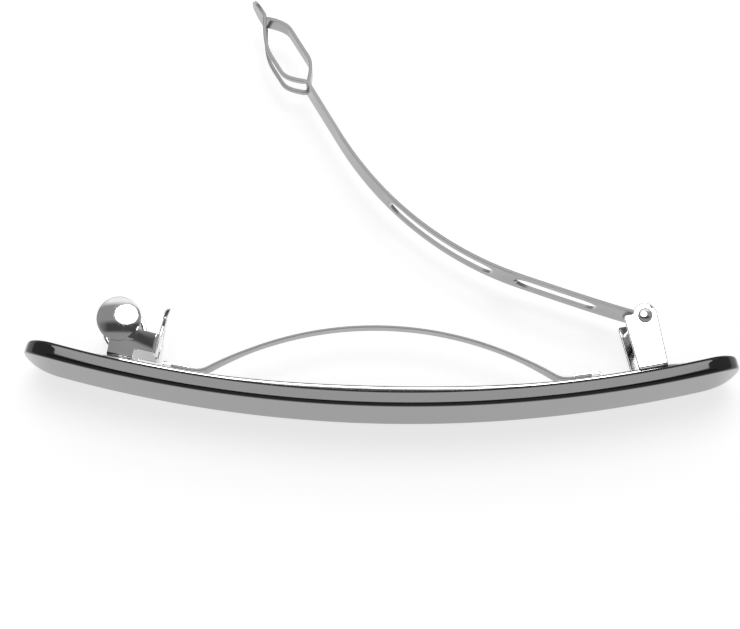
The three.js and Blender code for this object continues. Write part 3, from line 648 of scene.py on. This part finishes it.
def arm_half_width(distance):
    """Half the arm's width: an even taper to the eye, and a round tongue at the tip."""
    if distance < EYE_OUT:
        share = min(max((distance - KNUCKLE_RADIUS) / (EYE_IN - KNUCKLE_RADIUS), 0), 1)
        return ARM_ROOT_HALF + share * (ARM_EYE_HALF - ARM_ROOT_HALF)
    share = (distance - EYE_OUT) / (ARM_END - EYE_OUT)
    return max(ARM_EYE_HALF * (1 - (1 - math.sqrt(1 - share)) ** 2), TONGUE_END_HALF)


def eye_share(distance, throat, tip):
    """How far the eye has spread, from 0 to 1, with an eased rise over a share of its length at each end."""
    along = (distance - EYE_IN) / (EYE_OUT - EYE_IN)
    rise, fall = (math.sin(math.pi / 2 * min(share, 1)) for share in (along / throat, (1 - along) / tip))
    return rise * fall


eye_stations = [EYE_IN + (EYE_OUT - EYE_IN) * i / EYE_STEPS for i in range(EYE_STEPS + 1)]
stations = [*HINGE_STATIONS]
stations += [HINGE_LEG + (TIP_LEG_START - HINGE_LEG) * i / BEND_STEPS for i in range(BEND_STEPS + 1)]
stations += [(TIP_LEG_START + EYE_IN) / 2, *eye_stations]
stations += [EYE_OUT + (ARM_END - EYE_OUT) * (1 - (1 - i / TONGUE_STEPS) ** 2) for i in range(1, TONGUE_STEPS)]
arm = draw_strip("arm_strip", [arm_line(d, arm_bow(d)) for d in stations],
                 [arm_half_width(d) for d in stations], ARM_THICKNESS)

slice_up(2, (-RAIL_INSIDE, -BAND_HALF, BAND_HALF, RAIL_INSIDE))
eye_start, eye_end = arm_line(EYE_IN), arm_line(EYE_OUT)
eye_along = (eye_end - eye_start).normalized()
eye_heading = math.atan2(eye_along.y, eye_along.x)


def in_slit(a, side):
    """Whether a corner is on the slit between the eye's band and one of its rails."""
    along, across = (a - eye_start).dot(eye_along), side * a.z
    return (-HAIR < along < (eye_end - eye_start).length + HAIR
            and BAND_HALF - HAIR < across < RAIL_INSIDE + HAIR)


for side in (-1, 1):
    pick(arm, "FACE", lambda *corners: all(in_slit(a, side) for a in corners))
    bpy.ops.mesh.delete(type="FACE")
    bpy.ops.mesh.select_mode(type="EDGE")
    bpy.ops.mesh.select_non_manifold(extend=False, use_wire=False, use_boundary=True, use_multi_face=False,
                                     use_non_contiguous=False, use_verts=False)
    bpy.ops.mesh.bridge_edge_loops()
for inside, outside, spreading in ((0, BAND_HALF, EYE_BAND), (RAIL_INSIDE, ARM_EYE_HALF, EYE_RAILS)):
    height, throat, tip = spreading
    rows = [arm_line(d, height * eye_share(d, throat, tip)) for d in eye_stations]
    for distance, there, heading in list(zip(eye_stations, rows, headings(rows)))[1:-1]:
        here = arm_line(distance)
        pick(arm, "VERT", lambda a: inside - SLACK < abs(a.z) < outside + SLACK
             and near((a - here).dot(eye_along), 0) and (a.xy - here.xy).length < ARM_THICKNESS)
        bpy.ops.transform.translate(value=there - here)
        bpy.ops.transform.rotate(value=eye_heading - heading, orient_axis="Z", center_override=there)

soften(arm, SHEET_EDGE)
for low, high in SLOTS:
    slot = block("slot", (low, SLOT_LOW, -SLOT_HALF), (high, SLOT_HIGH, SLOT_HALF))
    round_edges(slot, SLOT_HALF - SLACK, 10, straight_along(1))
    hold(slot)
    slot.rotation_euler, slot.location = (0, 0, ARM_TURN), PIN
    bpy.ops.object.transform_apply(location=True, rotation=True, scale=True)
    combine(arm, slot)
combine(arm, rod("knuckle", KNUCKLE_RADIUS, -ARM_ROOT_HALF, ARM_ROOT_HALF, PIN), "UNION")
combine(arm, rod("bore", PIN_BORE, -EAR_BLANK_HALF, EAR_BLANK_HALF, PIN))
fit(arm, rolled_nickel, "nickel_plate", "arm", "swing_arm")


# Hinge pin: a short plated steel pin through both ears and the arm's rolled end. Its two ends are peened over
# into low domes, so it can't slip out.
PIN_RADIUS, PIN_SEAT, PIN_HEAD = 0.75, 4.82, 1.0
PIN_HEAD_RIM, PIN_HEAD_DOME, PIN_HEAD_STEPS = 0.08, 0.22, 7

pin = rod("peened_pin", PIN_RADIUS, -PIN_SEAT, PIN_SEAT, PIN)
arcs = [math.pi / 2 * i / PIN_HEAD_STEPS for i in range(PIN_HEAD_STEPS)]
for side in (-1, 1):
    pick(pin, "FACE", lambda *corners: all(side * a.z > PIN_SEAT - SLACK for a in corners))
    bpy.ops.mesh.extrude_region_move(TRANSFORM_OT_translate={"value": (0, 0, 0)})
    bpy.ops.transform.resize(value=(PIN_HEAD / PIN_RADIUS, PIN_HEAD / PIN_RADIUS, 1),
                             center_override=(PIN.x, PIN.y, side * PIN_SEAT))
    bpy.ops.mesh.extrude_region_move(TRANSFORM_OT_translate={"value": (0, 0, side * PIN_HEAD_RIM)})
    raise_dome([(PIN_HEAD * math.cos(arc), PIN_HEAD_DOME * math.sin(arc)) for arc in arcs])
fit(pin, mirror_nickel, "nickel_plate", "bar", "hinge_pin")


# Studio: a white table that the clip stands on by its long edge, one oval soft box almost overhead, a grey room
# with a pale wall behind the clip and a dark gap where the camera stands, and the camera nearly straight above.
FLOOR = -8.0 * MM
TABLE_SIZE, TABLE_GREY, TABLE_ROUGHNESS, TABLE_GLOW = 8, 0.6, 0.9, 0.68
SOFT_BOX_PLACE, SOFT_BOX_SIZE, SOFT_BOX_POWER = (0, 0.19, 0.62), (0.292, 0.27), 1.13
ROOM_LIGHT = 1.3
ROOM_SKY = ((-90, 0.12), (-60, 0.26), (-7, 0.26), (-4, 0.05), (4, 0.05), (9, 0.26),
            (26, 0.26), (31, 0.9), (46, 0.9), (52, 0.1), (90, 0.06))
ROOM_SIDES, SIDES_FROM, SIDES_TO = 0.26, 0.30, 0.55
CAMERA_PLACE, CAMERA_LOOK = (-0.00010, -0.05776, 0.36537), Vector((-0.00438, 0.19281, -0.98123))
SENSOR_WIDTH, LENS = 36, 131.35
CLIP_NEAR, CLIP_FAR = 0.01, 10

bpy.ops.object.select_all(action="DESELECT")
bpy.ops.mesh.primitive_plane_add(size=TABLE_SIZE, location=(0, 0, FLOOR))
table = bpy.context.object
table.name = "table"
white, shader = new_finish("white_table")
nodes, links = white.node_tree.nodes, white.node_tree.links
shader.inputs["Base Color"].default_value = (TABLE_GREY, TABLE_GREY, TABLE_GREY, 1)
shader.inputs["Roughness"].default_value = TABLE_ROUGHNESS
shader.inputs["Specular IOR Level"].default_value = 0.0
rays, seen, glow = (nodes.new("ShaderNode" + kind) for kind in ("LightPath", "Math", "Math"))
seen.operation, seen.use_clamp = "ADD", True
links.new(rays.outputs["Is Camera Ray"], seen.inputs[0])
links.new(rays.outputs["Is Glossy Ray"], seen.inputs[1])
glow.operation = "MULTIPLY"
glow.inputs[1].default_value = TABLE_GLOW
links.new(seen.outputs[0], glow.inputs[0])
shader.inputs["Emission Color"].default_value = (1, 1, 1, 1)
links.new(glow.outputs[0], shader.inputs["Emission Strength"])
white.cycles.emission_sampling = "NONE"
table.data.materials.append(white)

bpy.ops.object.light_add(type="AREA", location=SOFT_BOX_PLACE)
soft_box = bpy.context.object
soft_box.name = "soft_box"
soft_box.data.shape = "ELLIPSE"
soft_box.data.size, soft_box.data.size_y = SOFT_BOX_SIZE
soft_box.data.energy = SOFT_BOX_POWER

room = bpy.data.worlds.new("room")
bpy.context.scene.world = room
room.use_nodes = True
nodes, links = room.node_tree.nodes, room.node_tree.links
where, parts, tilt, level, sky, aside, sides, wall = (nodes.new("ShaderNode" + kind) for kind in (
    "TexCoord", "SeparateXYZ", "Math", "MapRange", "ValToRGB", "Math", "MapRange", "Mix"))
links.new(where.outputs["Generated"], parts.inputs["Vector"])
tilt.operation, aside.operation = "ARCTAN2", "ABSOLUTE"
links.new(parts.outputs["Y"], tilt.inputs[0])
links.new(parts.outputs["Z"], tilt.inputs[1])
level.inputs["From Min"].default_value, level.inputs["From Max"].default_value = -math.pi / 2, math.pi / 2
links.new(tilt.outputs[0], level.inputs["Value"])
links.new(level.outputs["Result"], sky.inputs["Fac"])
stops = sky.color_ramp.elements
for i, (angle, bright) in enumerate(ROOM_SKY):
    place = (angle + 90) / 180
    stop = stops[0] if i == 0 else stops[-1] if i == len(ROOM_SKY) - 1 else stops.new(place)
    stop.position, stop.color = place, (bright, bright, bright, 1)
links.new(parts.outputs["X"], aside.inputs[0])
sides.inputs["From Min"].default_value, sides.inputs["From Max"].default_value = SIDES_FROM, SIDES_TO
links.new(aside.outputs[0], sides.inputs["Value"])
wall.data_type = "RGBA"
links.new(sides.outputs["Result"], wall.inputs["Factor"])
links.new(sky.outputs["Color"], wall.inputs["A"])
wall.inputs["B"].default_value = (ROOM_SIDES, ROOM_SIDES, ROOM_SIDES, 1)
background = nodes["Background"]
background.inputs["Strength"].default_value = ROOM_LIGHT
links.new(wall.outputs["Result"], background.inputs["Color"])

bpy.ops.object.camera_add(location=CAMERA_PLACE)
camera = bpy.context.object
camera.rotation_euler = CAMERA_LOOK.to_track_quat("-Z", "Y").to_euler()
camera.data.sensor_width, camera.data.lens = SENSOR_WIDTH, LENS
camera.data.clip_start, camera.data.clip_end = CLIP_NEAR, CLIP_FAR
bpy.context.scene.camera = camera
bpy.context.scene.view_settings.view_transform = "Standard"
